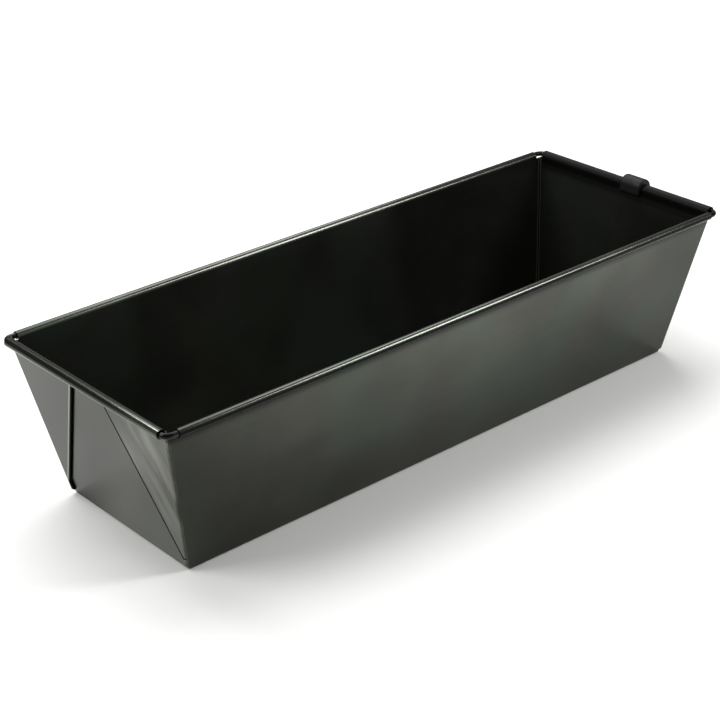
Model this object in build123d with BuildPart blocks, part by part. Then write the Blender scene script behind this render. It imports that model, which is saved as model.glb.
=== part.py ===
from build123d import *
import os
from math import atan, cos, pi, radians, sin, tan

# A loaf tin folded from one sheet of coated steel, with a wire rolled into its rim and a clip on one end.
# Millimetres and degrees. +X points to the end with the clip, +Y to a long side and +Z up.
# The origin is the middle of the underside of the base.

# The sheet and the tray folded from it
sheet = 0.4
base_length = 265.2
base_width = 77.2
rim_height = 70.0
end_lean = 10.9
long_lean = 10.75
base_bend = 1.3
corner_ease = 0.2

# The gussets: the spare sheet of each corner, folded double and laid on the outside of the end wall.
# The fold leaves the corner at fold_foot, and is fold_reach away from it at the top of the wall.
# Below that, the toe of the gusset runs on down beside the corner, pressed flat.
fold_foot = 4.1
fold_reach = 42.4
fold_gap = 0.2
fold_slot = 0.2
corner_slit = 0.14
toe_foot = 1.7
toe_width = 1.5
toe_bevel = 0.7

# The wire, and the beads rolled over it: how far the wire lies from the wall and from the bead round it,
# how far it runs bare beyond its bends, and the angle that the bead leaves open below
wire_diameter = 2.4
wire_bend = 3.0
wire_joint = 0.4
bead_rise = 1.0
end_bead_gap = 1.15
end_bead_slack = 0.3
end_bead_bare = 0.2
end_bead_open = 62
long_bead_gap = 0.5
long_bead_slack = 0.05
long_bead_bare = 2.1
long_bead_open = 45

# The clip on the far bead
clip_length = 12.0
clip_place = -6.3
clip_wall = 2.1
clip_clearance = 0.1
clip_leg = 4.0

# One overrun for every cut
overrun = 2.0

# The size of the beads, and where the walls end below them
end_bead_diameter = wire_diameter + 2 * (end_bead_slack + sheet)
long_bead_diameter = wire_diameter + 2 * (long_bead_slack + sheet)
end_bead_reach = wire_diameter / 2 + end_bead_gap
long_bead_reach = wire_diameter / 2 + long_bead_gap
bead_height = rim_height - end_bead_diameter / 2
wall_height = bead_height - bead_rise
corner_bend = base_bend + corner_ease

# The lean of the walls, and the sheet measured level instead of square to its face
end_rise = tan(radians(end_lean))
long_rise = tan(radians(long_lean))
end_sheet = sheet / cos(radians(end_lean))
long_sheet = sheet / cos(radians(long_lean))


def half_length(height):
    return base_length / 2 + height * end_rise


def half_width(height):
    return base_width / 2 + height * long_rise


# The lean of the fold on the end wall, the roundings of the folded sheet, and where the fold meets the toe
fold_rise = (fold_reach / (wall_height - fold_foot) - long_rise) * cos(radians(end_lean))
fold_lean = atan(fold_rise)
toe_top = fold_foot + toe_width * (wall_height - fold_foot) / fold_reach
gusset_stand = fold_gap + 2 * end_sheet + fold_slot
fold_round = 0.45 * (gusset_stand - fold_gap)
turn_round = 0.48 * (fold_gap + 2 * end_sheet)
wrap_bend = turn_round + corner_slit + sheet
toe_round = 0.9 * (toe_width - wrap_bend)

# The centre lines of the beads, which the wire follows
wire_x = half_length(bead_height) + end_bead_reach
wire_y = half_width(bead_height) + long_bead_reach

# The outside of the +X end wall, the foot of the +X +Y corner, and the way that corner climbs
end_plane = Plane(
    origin=(base_length / 2, 0, 0),
    x_dir=(0, 1, 0),
    z_dir=(cos(radians(end_lean)), 0, -sin(radians(end_lean))),
)
corner_plane = Plane(origin=(base_length / 2, base_width / 2, 0))
corner_way = Vector(end_rise, long_rise, 1)


def fold_point(height, inset):
    """A point of the folded edge on the end wall, moved towards the corner by an inset"""
    slope = cos(radians(end_lean))
    across = half_width(fold_foot) - (height - fold_foot) / slope * fold_rise
    return across + inset / cos(fold_lean), height / slope


def gusset_outline(inset):
    """The triangle of a gusset on the end wall, run out past the corner and the top"""
    low, high = fold_foot, wall_height + overrun
    slope = cos(radians(end_lean))
    Polygon(
        fold_point(low, inset),
        fold_point(high, inset),
        (half_width(high) + overrun, high / slope),
        (half_width(low) + overrun, low / slope),
        align=None,
    )


fold_way = end_plane.from_local_coords(fold_point(wall_height, 0)) - end_plane.from_local_coords(
    fold_point(fold_foot, 0)
)
end_normal = Axis(end_plane.origin, end_plane.z_dir)
fold_plane = Plane(
    origin=end_plane.from_local_coords(fold_point(wall_height / 2, 0)),
    x_dir=end_plane.z_dir.cross(fold_way),
    z_dir=fold_way,
)


def corner_climb(height):
    """The length of a corner's edge up to a height"""
    return height * corner_way.length


def corner_edges(piece):
    """The edges of a piece that climb with the corner"""
    return piece.edges().filter_by(Axis(corner_plane.origin, corner_way))


def flare(half_span, low, high, inset):
    """The upright section across the tray, between two levels"""
    foot, head = half_span(low) - inset, half_span(high) - inset
    Polygon((foot, low), (head, high), (-head, high), (-foot, low), align=None)


def rising(edge):
    """Whether an edge climbs from one level to another"""
    return (edge @ 1 - edge @ 0).Z != 0


def four_corners(piece):
    """A piece of the +X +Y corner and its likeness at the other three"""
    across = piece.mirror(Plane.XZ)
    return piece, across, piece.mirror(Plane.YZ), across.mirror(Plane.YZ)


# The flared block and the hollow in it, one sheet apart
with BuildPart() as block:
    with BuildSketch(Plane.XZ):
        flare(half_length, 0, wall_height, 0)
    extrude(amount=half_width(wall_height) + overrun, both=True)
    with BuildSketch(Plane.YZ):
        flare(half_width, 0, wall_height, 0)
    extrude(amount=half_length(wall_height) + overrun, both=True, mode=Mode.INTERSECT)
    fillet(block.edges().filter_by(rising), corner_bend)
    fillet(block.faces().sort_by(Axis.Z)[0].edges(), base_bend)

with BuildPart() as hollow:
    with BuildSketch(Plane.XZ):
        flare(half_length, sheet, wall_height + overrun, end_sheet)
    extrude(amount=half_width(wall_height) + overrun, both=True)
    with BuildSketch(Plane.YZ):
        flare(half_width, sheet, wall_height + overrun, long_sheet)
    extrude(amount=half_length(wall_height) + overrun, both=True, mode=Mode.INTERSECT)
    fillet(hollow.edges().filter_by(rising), corner_bend - sheet)
    fillet(hollow.faces().sort_by(Axis.Z)[0].edges(), base_bend - sheet)

# One gusset: a level section carried up along the corner, cut back to the triangle between corner and fold
with BuildPart() as flap:
    with BuildSketch(corner_plane):
        Polygon(
            (-corner_bend, 0),
            (gusset_stand, 0),
            (gusset_stand, -half_width(wall_height)),
            (-corner_bend, -half_width(wall_height)),
            align=None,
        )
    extrude(amount=corner_climb(wall_height), dir=corner_way)
    fillet(corner_edges(flap).sort_by(Axis.X)[-2:].sort_by(Axis.Y)[-1], wrap_bend)
    with BuildSketch(end_plane.offset(-2 * corner_bend)):
        gusset_outline(0)
    extrude(amount=2 * corner_bend + gusset_stand + overrun, mode=Mode.INTERSECT)
    # The gap left between the gusset and the wall, which closes where the sheet turns back at the corner
    with BuildSketch(corner_plane):
        Polygon(
            (0, -long_sheet - corner_slit - end_sheet),
            (fold_gap, -long_sheet - corner_slit - end_sheet),
            (fold_gap, -base_width),
            (0, -base_width),
            align=None,
        )
    extrude(amount=corner_climb(wall_height + overrun), dir=corner_way, mode=Mode.SUBTRACT)
    # The fold's inner bend, then its outer one
    fillet(flap.edges().filter_by(Axis(fold_plane.origin, fold_way)).sort_by(end_normal)[-2], fold_round)
    with BuildSketch(fold_plane) as fold_section:
        Polygon(
            (0, -2 * corner_bend),
            (0, gusset_stand * cos(radians(end_lean))),
            (-base_width, gusset_stand * cos(radians(end_lean))),
            (-base_width, -2 * corner_bend),
            align=None,
        )
        fillet(fold_section.vertices().group_by(Axis.X)[-1].sort_by(Axis.Y)[-1], fold_round)
    extrude(amount=wall_height, both=True, mode=Mode.INTERSECT)

# The toe of a gusset: it reaches one sheet into the fold above, and is cut off below on a slant
with BuildPart() as toe:
    with BuildSketch(corner_plane):
        Polygon(
            (-corner_bend, 0),
            (gusset_stand, 0),
            (gusset_stand, -toe_width),
            (-corner_bend, -toe_width),
            align=None,
        )
    extrude(amount=corner_climb(toe_top + 2 * sheet), dir=corner_way)
    fillet(corner_edges(toe).sort_by(Axis.X)[-2:].sort_by(Axis.Y)[-1], wrap_bend)
    fillet(corner_edges(toe).sort_by(Axis.Y)[:2].sort_by(Axis.X)[-1], toe_round)
    with BuildSketch(Plane.XZ):
        Polygon(
            (half_length(toe_foot) - 2 * corner_bend, toe_foot),
            (half_length(toe_foot), toe_foot),
            (half_length(toe_foot) + 2 * gusset_stand, toe_foot + 2 * toe_bevel),
            (half_length(toe_foot) + 2 * gusset_stand, -overrun),
            (half_length(toe_foot) - 2 * corner_bend, -overrun),
            align=None,
        )
    extrude(amount=base_width, both=True, mode=Mode.SUBTRACT)
    with BuildSketch(end_plane.offset(-2 * corner_bend)):
        gusset_outline(sheet)
    extrude(amount=4 * corner_bend + gusset_stand, mode=Mode.SUBTRACT)

# The space inside one fold: a slit beside the long wall that leads from the tin to between the two layers
with BuildPart() as fold_space:
    with BuildSketch(corner_plane):
        Polygon(
            (-end_sheet - overrun, -long_sheet),
            (gusset_stand - end_sheet, -long_sheet),
            (gusset_stand - end_sheet, -base_width),
            (fold_gap + end_sheet, -base_width),
            (fold_gap + end_sheet, -long_sheet - corner_slit),
            (-end_sheet, -long_sheet - corner_slit),
            (-end_sheet, -long_sheet - overrun),
            (-end_sheet - overrun, -long_sheet - overrun),
            align=None,
        )
    extrude(amount=corner_climb(wall_height + overrun), dir=corner_way)
    fillet(corner_edges(fold_space).group_by(Axis.Y)[-2], turn_round)
    fillet(corner_edges(fold_space).group_by(Axis.Y)[-1].sort_by(Axis.X)[-1], wrap_bend - sheet)
    with BuildSketch(end_plane.offset(-2 * overrun)):
        gusset_outline(sheet)
    extrude(amount=2 * overrun + gusset_stand + overrun, mode=Mode.INTERSECT)


def curl_neck(diameter, reach, lean):
    """The first, wider turn of a bead: how far its centre lies below the wire, and its radius"""
    middle = (diameter - sheet) / 2
    drop = (reach * cos(radians(lean)) + sheet / 2 - middle) / (1 - sin(radians(lean)))
    return drop, middle + drop


def curl(half_span, level_sheet, diameter, reach, lean, opening):
    """The middle of the sheet from the top of a wall, out over the wire and back under it"""
    drop, neck = curl_neck(diameter, reach, lean)
    centre = half_span(bead_height) + reach
    with BuildLine() as path:
        turn_in = CenterArc((centre, bead_height - drop), neck, 180 - lean, lean - 90)
        CenterArc((centre, bead_height), neck - drop, 90, opening - lean - 270)
        Line((half_span(wall_height - sheet) - level_sheet / 2, wall_height - sheet), turn_in @ 0)
    return path.line


with BuildPart() as end_bead:
    with BuildSketch(Plane.XZ):
        section = curl(half_length, end_sheet, end_bead_diameter, end_bead_reach, end_lean, end_bead_open)
        trace(section, line_width=sheet)
    extrude(amount=wire_y - wire_bend - end_bead_bare, both=True)

with BuildPart() as long_bead:
    with BuildSketch(Plane.YZ):
        section = curl(half_width, long_sheet, long_bead_diameter, long_bead_reach, long_lean, long_bead_open)
        trace(section, line_width=sheet)
    extrude(amount=wire_x - wire_bend - long_bead_bare, both=True)

with BuildPart() as pan_body:
    add(block.part)
    add(four_corners(flap.part))
    add(four_corners(toe.part))
    add(hollow.part, mode=Mode.SUBTRACT)
    add(four_corners(fold_space.part), mode=Mode.SUBTRACT)
    add((end_bead.part, end_bead.part.mirror(Plane.YZ)))
    add((long_bead.part, long_bead.part.mirror(Plane.XZ)))

# The rim wire: bent to the rim, its two ends meeting inside the +Y bead
with BuildPart() as rim_wire:
    with BuildLine(Plane.XY.offset(bead_height)) as wire_run:
        FilletPolyline(
            (wire_joint / 2, wire_y),
            (wire_x, wire_y),
            (wire_x, -wire_y),
            (-wire_x, -wire_y),
            (-wire_x, wire_y),
            (-wire_joint / 2, wire_y),
            radius=wire_bend,
        )
    with BuildSketch(wire_run.line ^ 0):
        Circle(wire_diameter / 2)
    sweep()

# The rim clip: a ring open at the foot, with a leg down the inside of the end wall
inner_drop, inner_neck = curl_neck(end_bead_diameter, end_bead_reach, end_lean)
ring_radius = end_bead_diameter / 2 + clip_clearance + clip_wall
wall_side = end_bead_reach * cos(radians(end_lean)) + sheet + clip_clearance
mouth_width = sheet + gusset_stand * cos(radians(end_lean)) + 2 * clip_clearance
clip_round = 0.93 * (ring_radius - wall_side)
clip_edge = 0.92 * clip_round

with BuildPart() as rim_clip:
    with BuildSketch(Plane.XZ.offset(-clip_place)) as clip_section:
        with Locations(Location((wire_x, bead_height), -end_lean)):
            Circle(ring_radius)
            with Locations((-ring_radius, 0)):
                Rectangle(ring_radius - wall_side, clip_leg, align=(Align.MIN, Align.MAX))
            with Locations((-wall_side, 0)):
                Rectangle(mouth_width, 2 * ring_radius, align=(Align.MIN, Align.MAX), mode=Mode.SUBTRACT)
            Circle(end_bead_diameter / 2 + clip_clearance, mode=Mode.SUBTRACT)
        with BuildLine():
            turn_over = CenterArc(
                (wire_x, bead_height - inner_drop),
                inner_neck + sheet / 2 + clip_clearance,
                180 - end_lean,
                end_lean - 90,
            )
            Polyline(turn_over @ 1, (wire_x, bead_height - inner_drop), turn_over @ 0)
        make_face(mode=Mode.SUBTRACT)
        ring = clip_section.edges().filter_by(GeomType.CIRCLE).sort_by(SortBy.LENGTH)[-1]
        fillet([clip_section.vertices().sort_by(Axis.X)[0], ring.vertices().sort_by(Axis.Y)[0]], clip_round)
    extrude(amount=clip_length / 2, both=True)
    fillet(rim_clip.edges().filter_by(GeomType.CIRCLE).sort_by(SortBy.LENGTH)[-2:], clip_edge)

pan_body.part.label = "pan_body"
rim_wire.part.label = "rim_wire"
rim_clip.part.label = "rim_clip"

os.makedirs("parts", exist_ok=True)
export_step(pan_body.part, "parts/pan_body.step")
export_step(rim_wire.part, "parts/rim_wire.step")
export_step(rim_clip.part, "parts/rim_clip.step")
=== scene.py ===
import bpy
from math import cos, radians, sin
from mathutils import Matrix, Vector

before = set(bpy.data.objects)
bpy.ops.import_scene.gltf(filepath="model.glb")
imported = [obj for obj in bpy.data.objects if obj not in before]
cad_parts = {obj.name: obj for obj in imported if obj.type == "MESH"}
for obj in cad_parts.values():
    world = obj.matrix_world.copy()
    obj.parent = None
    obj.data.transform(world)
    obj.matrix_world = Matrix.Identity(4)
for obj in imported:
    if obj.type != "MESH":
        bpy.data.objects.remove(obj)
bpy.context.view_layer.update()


def linear(hexColour):
    parts = [int(hexColour[i:i + 2], 16) / 255 for i in (1, 3, 5)]
    return [p / 12.92 if p <= 0.04045 else ((p + 0.055) / 1.055) ** 2.4 for p in parts] + [1]


# An input is a plain value, a socket, or a node whose first output is meant
def addNode(material, kind, inputs, **settings):
    node = material.node_tree.nodes.new(kind)
    for name, value in settings.items():
        setattr(node, name, value)
    for socket, value in inputs.items():
        if isinstance(value, bpy.types.Node):
            value = value.outputs[0]
        if isinstance(value, bpy.types.NodeSocket):
            material.node_tree.links.new(value, node.inputs[socket])
        else:
            node.inputs[socket].default_value = value
    return node


def newMaterial(name):
    material = bpy.data.materials.new(name)
    material.use_nodes = True
    material.node_tree.nodes.clear()
    return material


# Camera: the photograph's view, worked out from the tin's edges
view = dict(azimuth=-40.47, elevation=26.69, roll=-1.30, lens=90.07, away=0.7719, across=-0.01127, up=0.02459)


def addCamera():
    az, el, roll = radians(view["azimuth"]), radians(view["elevation"]), radians(view["roll"])
    back = Vector((sin(az) * cos(el), -cos(az) * cos(el), sin(el)))
    level = Vector((cos(az), sin(az), 0))
    upright = back.cross(level)
    right = cos(roll) * level + sin(roll) * upright
    up = -sin(roll) * level + cos(roll) * upright
    data = bpy.data.cameras.new("camera")
    data.lens = view["lens"]
    data.clip_start = 0.01
    camera = bpy.data.objects.new("camera", data)
    camera.matrix_world = Matrix.Translation(
        right * view["across"] + up * view["up"] + back * view["away"]
    ) @ Matrix((right, up, back)).transposed().to_4x4()
    bpy.context.scene.collection.objects.link(camera)
    bpy.context.scene.camera = camera


addCamera()
print("camera placed")

# Studio: white paper below, an even grey surround, one soft lamp high up behind the tin, which leaves the
# paper in front of it in shade, one on the left, and two small ones that draw the lines on the rim.
# Every lamp points at the origin.
studio = dict(
    paper="#f6f6f4", paperSize=6.0, surround=0.36,
    lamps=dict(
        high=dict(power=12.0, size=(1.0, 1.0), place=(0.26, 0.50, 1.05)),
        left=dict(power=8.0, size=(0.7, 0.7), place=(-1.00, 0.45, 1.00)),
        rightStrip=dict(power=4.6, size=(0.24, 0.42), place=(0.62, -0.60, 0.68)),
        nearStrip=dict(power=0.55, size=(0.08, 0.08), place=(-0.20, 0.32, 0.43)),
    ),
)


def addLamp(name, power, size, place):
    data = bpy.data.lights.new(name, "AREA")
    data.energy, data.shape, data.size, data.size_y = power, "RECTANGLE", *size
    lamp = bpy.data.objects.new(name, data)
    lamp.location = place
    lamp.rotation_euler = (-Vector(place)).to_track_quat("-Z", "Y").to_euler()
    bpy.context.scene.collection.objects.link(lamp)


def addStudio():
    bpy.ops.mesh.primitive_plane_add(size=studio["paperSize"])
    floor = bpy.context.object
    floor.name = "floor"
    material = newMaterial("matte white paper")
    paper = addNode(material, "ShaderNodeBsdfDiffuse", {"Color": linear(studio["paper"])})
    addNode(material, "ShaderNodeOutputMaterial", {"Surface": paper})
    floor.data.materials.append(material)
    world = bpy.data.worlds.new("surround")
    bpy.context.scene.world = world
    world.use_nodes = True
    world.node_tree.nodes.clear()
    pale = addNode(world, "ShaderNodeBackground", {
        "Color": linear("#ffffff"), "Strength": studio["surround"],
    })
    addNode(world, "ShaderNodeOutputWorld", {"Surface": pale})
    for name, lamp in studio["lamps"].items():
        addLamp(name, **lamp)


addStudio()
bpy.context.scene.view_settings.view_transform = "Standard"
print("studio lit")

noiseSpread = (0.3, 0.7)  # what nearly all of a noise lies between


# Noise whose blotches measure the given lengths along the three axes: as it is, or eased from one value to
# another over a spread of the noise
def blotches(material, place, lengths, spread=None, values=(0.0, 1.0)):
    mapped = addNode(material, "ShaderNodeMapping", {
        "Vector": place, "Scale": [1 / length for length in lengths],
    })
    noise = addNode(material, "ShaderNodeTexNoise", {"Vector": mapped, "Scale": 1.0, "Detail": 2.0})
    if spread is None:
        return noise
    return addNode(material, "ShaderNodeMapRange", {
        "Value": noise, "From Min": spread[0], "From Max": spread[1],
        "To Min": values[0], "To Max": values[1],
    }, interpolation_type="SMOOTHSTEP")


# The tin. Lengths are in metres, as in the frame. Where an effect grows with distance, a pair of lengths gives
# where it starts and where it is full.
tin = dict(
    # Colours, patches where the coat is thicker or greener, the sheet's grain under it and its fine bumps
    coat=dict(
        # thick, thin and greener are the coat's own tones; dark is painted shade
        thick="#43443f", thin="#595853", greener="#525a51", dark="#22261e",
        # then a pale grey for painted highlights and the gusset streaks, a mid grey for the painted highlight in
        # the corner bends, and a near black for painted shade
        bare="#969990", worn="#41413e", sooty="#080807",
        metallic=0.9, roughness=(0.15, 0.24), patch=0.040, patchShare=(0.1, 0.7),
        tint=0.034, tintSpread=(0.4, 0.6), grain=(0.060, 0.0012, 0.0012), grainShare=(0.0, 0.14),
        speckle=0.0006, speckleDepth=0.00001,
    ),
    # The outside of the leaning walls: how far out it is at the foot, its rise, and how deep it still counts
    endWall=dict(foot=0.1326, rise=0.1926, skin=0.0002),
    longWall=dict(foot=0.0386, rise=0.1899, skin=0.0002),
    # The gussets' folds: how far aside they lie, the middle and half width of the painted shade line and the
    # painted highlight on the edge beyond that, the heights that these run between, and the pale streaks on the
    # gussets
    fold=dict(
        foot=0.0414, rise=-0.4832, crease=(0.0006, 0.0008), creaseRough=0.8,
        edge=(0.0007, 0.0004), edgePale=0.7, low=0.0060, top=0.0640,
        streak=(0.030, 0.007, 0.030), streakSpread=(0.35, 0.7), streakPale=0.40,
    ),
    # Painted shade: darker on the end walls towards the rim and +Y, and on the long walls at foot and ends. Set
    # to match the photograph's brightness
    paintedShade=dict(
        aside=1.4, endReach=(0.006, 0.048), atRim=1.0, longFoot=(0.035, 0.0), atLongFoot=0.45,
        longEnds=(0.085, 0.145), atLongEnds=0.60,
    ),
    # Painted reflection: paler at the foot of the end walls and in the middle of the long ones, set in the same
    # way
    paintedReflection=dict(endFoot=(0.036, 0.0), atEndFoot=0.30, longMiddle=(0.090, 0.0), atLongMiddle=0.12),
    # The inside of the corner bends: how deep the painted highlight line lies under both walls' outsides, and
    # half its width
    corner=dict(depth=0.00090, width=0.00055),
    # The rolled rim, with painted shade on its underside and at the clip end: where it starts and its long rolls
    # end, how far down a face turns before it counts as the underside, and the end with the clip
    roll=dict(low=(0.0610, 0.0660), ends=0.1455, turned=(0.40, 0.20), clipEnd=0.1440, clipEndRough=0.45),
)


# How far a point lies beyond a leaning wall or fold
def beyond(material, distance, height, wall):
    reach = addNode(material, "ShaderNodeMath", {
        0: height, 1: wall["rise"], 2: wall["foot"],
    }, operation="MULTIPLY_ADD")
    return addNode(material, "ShaderNodeMath", {0: distance, 1: reach}, operation="SUBTRACT")


def coatMaterial():
    # Sprayed and baked: dark grey metal with a soft sheen and a green cast in places, with painted shade and
    # painted highlights laid over it in the layers below
    material = newMaterial("metallic non-stick coat on steel sheet")
    coat, fold, corner, roll = tin["coat"], tin["fold"], tin["corner"], tin["roll"]
    paintedShade, paintedReflection = tin["paintedShade"], tin["paintedReflection"]
    place = addNode(material, "ShaderNodeTexCoord", {}).outputs["Object"]
    x, y, height = addNode(material, "ShaderNodeSeparateXYZ", {0: place}).outputs
    along, aside = (addNode(material, "ShaderNodeMath", {0: axis}, operation="ABSOLUTE") for axis in (x, y))
    normal = addNode(material, "ShaderNodeNewGeometry", {}).outputs["Normal"]
    upward = addNode(material, "ShaderNodeSeparateXYZ", {0: normal}).outputs[2]

    # Patches where the spray lies thinner, with the grain of the rolled sheet showing faintly through
    patches = blotches(material, place, [coat["patch"]] * 3, noiseSpread, coat["patchShare"])
    grain = blotches(material, place, coat["grain"], noiseSpread, coat["grainShare"])
    share = addNode(material, "ShaderNodeMath", {0: patches, 1: grain}, operation="ADD")
    tints = blotches(material, place, [coat["tint"]] * 3, coat["tintSpread"])
    thin = addNode(material, "ShaderNodeMix", {
        0: tints, 6: linear(coat["thin"]), 7: linear(coat["greener"]),
    }, data_type="RGBA").outputs[2]
    colour = addNode(material, "ShaderNodeMix", {
        0: share, 6: linear(coat["thick"]), 7: thin,
    }, data_type="RGBA").outputs[2]

    pastEnd = beyond(material, along, height, tin["endWall"])
    pastLong = beyond(material, aside, height, tin["longWall"])
    pastFold = beyond(material, aside, height, fold)
    slanted = addNode(material, "ShaderNodeMath", {
        0: y, 1: paintedShade["aside"], 2: height,
    }, operation="MULTIPLY_ADD")
    fromFold = addNode(material, "ShaderNodeCombineXYZ", {0: x, 1: pastFold, 2: height})
    where = dict(
        streaked=blotches(
            material, fromFold, fold["streak"], fold["streakSpread"], (0.0, fold["streakPale"])),
        partly=fold["edgePale"],
    )

    # Each of these is 1 in its part of the tin and 0 elsewhere
    parts = dict(
        endWall=("GREATER_THAN", pastEnd, -tin["endWall"]["skin"]),
        longWall=("GREATER_THAN", pastLong, -tin["longWall"]["skin"]),
        underRim=("LESS_THAN", height, fold["top"]),
        overToe=("GREATER_THAN", height, fold["low"]),
        gusset=("GREATER_THAN", pastFold, 0.0),
        crease=("COMPARE", pastFold, *fold["crease"]),
        foldEdge=("COMPARE", pastFold, *fold["edge"]),
        minusY=("LESS_THAN", y, 0.0),
        plusY=("GREATER_THAN", y, 0.0),
        betweenCorners=("LESS_THAN", along, roll["ends"]),
        clipEnd=("GREATER_THAN", x, roll["clipEnd"]),
        endInside=("COMPARE", pastEnd, -corner["depth"], corner["width"]),
        longInside=("COMPARE", pastLong, -corner["depth"], corner["width"]),
    )
    for name, (operation, *values) in parts.items():
        where[name] = addNode(material, "ShaderNodeMath", dict(enumerate(values)), operation=operation)

    # and each of these grows from 0 to its most over a pair of lengths
    growths = dict(
        towardsRim=(slanted, paintedShade["endReach"], paintedShade["atRim"]),
        longFoot=(height, paintedShade["longFoot"], paintedShade["atLongFoot"]),
        longEnds=(along, paintedShade["longEnds"], paintedShade["atLongEnds"]),
        endFoot=(height, paintedReflection["endFoot"], paintedReflection["atEndFoot"]),
        longMiddle=(along, paintedReflection["longMiddle"], paintedReflection["atLongMiddle"]),
        rim=(height, roll["low"], 1.0),
        underside=(upward, roll["turned"], 1.0),
    )
    for name, (value, (start, end), most) in growths.items():
        where[name] = addNode(material, "ShaderNodeMapRange", {
            "Value": value, "From Min": start, "From Max": end, "To Max": most,
        }, interpolation_type="SMOOTHSTEP")
    where["footOrEnds"] = addNode(material, "ShaderNodeMath", {
        0: where["longFoot"], 1: where["longEnds"],
    }, operation="MAXIMUM")

    # The layers over the patches, from the first to the last: each is laid on where all its words hold
    layers = dict(
        streaks=("bare", "endWall", "underRim", "gusset", "streaked"),
        # painted reflection: paler at the foot of the end walls and in the middle of the long walls
        paintedReflectionEndFoot=("bare", "endWall", "endFoot"),
        paintedReflectionLongMiddle=("bare", "longWall", "longMiddle"),
        # painted shade: darker towards the rim of the end walls, and at the foot and ends of the long walls
        paintedShadeEndWall=("dark", "endWall", "towardsRim"),
        paintedShadeLongWall=("dark", "longWall", "footOrEnds"),
        # The folds as the photograph shows the near end: a dark line on the -Y side, a pale edge on the +Y side.
        # The line is painted shade and the edge a painted highlight, not marks in the coat
        paintedShadeCrease=("sooty", "endWall", "underRim", "overToe", "crease", "minusY"),
        paintedHighlightFold=("bare", "endWall", "underRim", "foldEdge", "plusY", "partly"),
        # painted shade under the roll and on the top of the wall just below it
        paintedShadeUnderRoll=("sooty", "longWall", "betweenCorners", "rim", "underside"),  # may be shade
        # painted shade on the rim at the clip end, dark and dull
        paintedShadeClipEndRoll=("sooty", "rim", "clipEnd"),  # dull in the photograph
        # painted highlight: the pale line in the inside of the corner bends
        paintedHighlightCorner=("worn", "endInside", "longInside"),  # the pale line in the bend
    )
    laid = {}
    for name, (shade, *words) in layers.items():
        laid[name] = where[words[0]]
        for word in words[1:]:
            laid[name] = addNode(material, "ShaderNodeMath", {
                0: laid[name], 1: where[word],
            }, operation="MULTIPLY")
        colour = addNode(material, "ShaderNodeMix", {
            0: laid[name], 6: colour, 7: linear(coat[shade]),
        }, data_type="RGBA").outputs[2]

    # The painted shade line and the painted shade at the clip end are rougher than the coat, and the painted
    # highlight in the bends isn't metallic
    rough = blotches(material, place, [coat["patch"]] * 3, noiseSpread, coat["roughness"])
    for name, value in (("paintedShadeClipEndRoll", roll["clipEndRough"]), ("paintedShadeCrease", fold["creaseRough"])):
        rougher = addNode(material, "ShaderNodeMath", {0: laid[name], 1: value}, operation="MULTIPLY")
        rough = addNode(material, "ShaderNodeMath", {0: rough, 1: rougher}, operation="MAXIMUM")
    metallic = addNode(material, "ShaderNodeMath", {
        0: laid["paintedHighlightCorner"], 1: -coat["metallic"], 2: coat["metallic"],
    }, operation="MULTIPLY_ADD")

    speckle = blotches(material, place, [coat["speckle"]] * 3)
    bump = addNode(material, "ShaderNodeBump", {"Height": speckle, "Distance": coat["speckleDepth"]})
    shader = addNode(material, "ShaderNodeBsdfPrincipled", {
        "Base Color": colour, "Metallic": metallic, "Roughness": rough, "Normal": bump,
    })
    addNode(material, "ShaderNodeOutputMaterial", {"Surface": shader})
    return material


wire = dict(
    oxide="#1d1d1c", steel="#3c3c39", patch=0.005, patchSpread=(0.35, 0.7), drawnLine=0.0004,
    drawnDepth=0.000006, roughness=(0.10, 0.20),
)


def wireMaterial():
    # Drawn through a die and blackened: near black and glossy, with steel showing through in small patches
    material = newMaterial("black oxide on drawn steel wire")
    place = addNode(material, "ShaderNodeTexCoord", {}).outputs["Object"]
    patches = blotches(material, place, [wire["patch"]] * 3, wire["patchSpread"])
    colour = addNode(material, "ShaderNodeMix", {
        0: patches, 6: linear(wire["oxide"]), 7: linear(wire["steel"]),
    }, data_type="RGBA").outputs[2]

    # Fine level lines left by the die
    drawn = (wire["patch"], wire["patch"], wire["drawnLine"])
    lines = blotches(material, place, drawn)
    bump = addNode(material, "ShaderNodeBump", {"Height": lines, "Distance": wire["drawnDepth"]})
    shader = addNode(material, "ShaderNodeBsdfPrincipled", {
        "Base Color": colour, "Metallic": 1.0, "Normal": bump,
        "Roughness": blotches(material, place, drawn, noiseSpread, wire["roughness"]),
    })
    addNode(material, "ShaderNodeOutputMaterial", {"Surface": shader})
    return material


clip = dict(
    deep="#070709", worn="#0e0e11", specular=0.2, patch=0.003, grain=0.0004, grainDepth=0.00002,
    roughness=(0.58, 0.42),
)


def clipMaterial():
    # Moulded: a blue-black, finely sparked skin, a little paler and smoother where it is handled
    material = newMaterial("moulded black nylon")
    place = addNode(material, "ShaderNodeTexCoord", {}).outputs["Object"]
    patches = blotches(material, place, [clip["patch"]] * 3, noiseSpread)
    colour = addNode(material, "ShaderNodeMix", {
        0: patches, 6: linear(clip["deep"]), 7: linear(clip["worn"]),
    }, data_type="RGBA").outputs[2]
    grain = blotches(material, place, [clip["grain"]] * 3)
    bump = addNode(material, "ShaderNodeBump", {"Height": grain, "Distance": clip["grainDepth"]})
    shader = addNode(material, "ShaderNodeBsdfPrincipled", {
        "Base Color": colour, "Specular IOR Level": clip["specular"], "Normal": bump,
        "Roughness": blotches(material, place, [clip["patch"]] * 3, noiseSpread, clip["roughness"]),
    })
    addNode(material, "ShaderNodeOutputMaterial", {"Surface": shader})
    return material


for name, make in (("pan_body", coatMaterial), ("rim_wire", wireMaterial), ("rim_clip", clipMaterial)):
    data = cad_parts[name].data
    data.materials.clear()
    data.materials.append(make())
print("materials given")
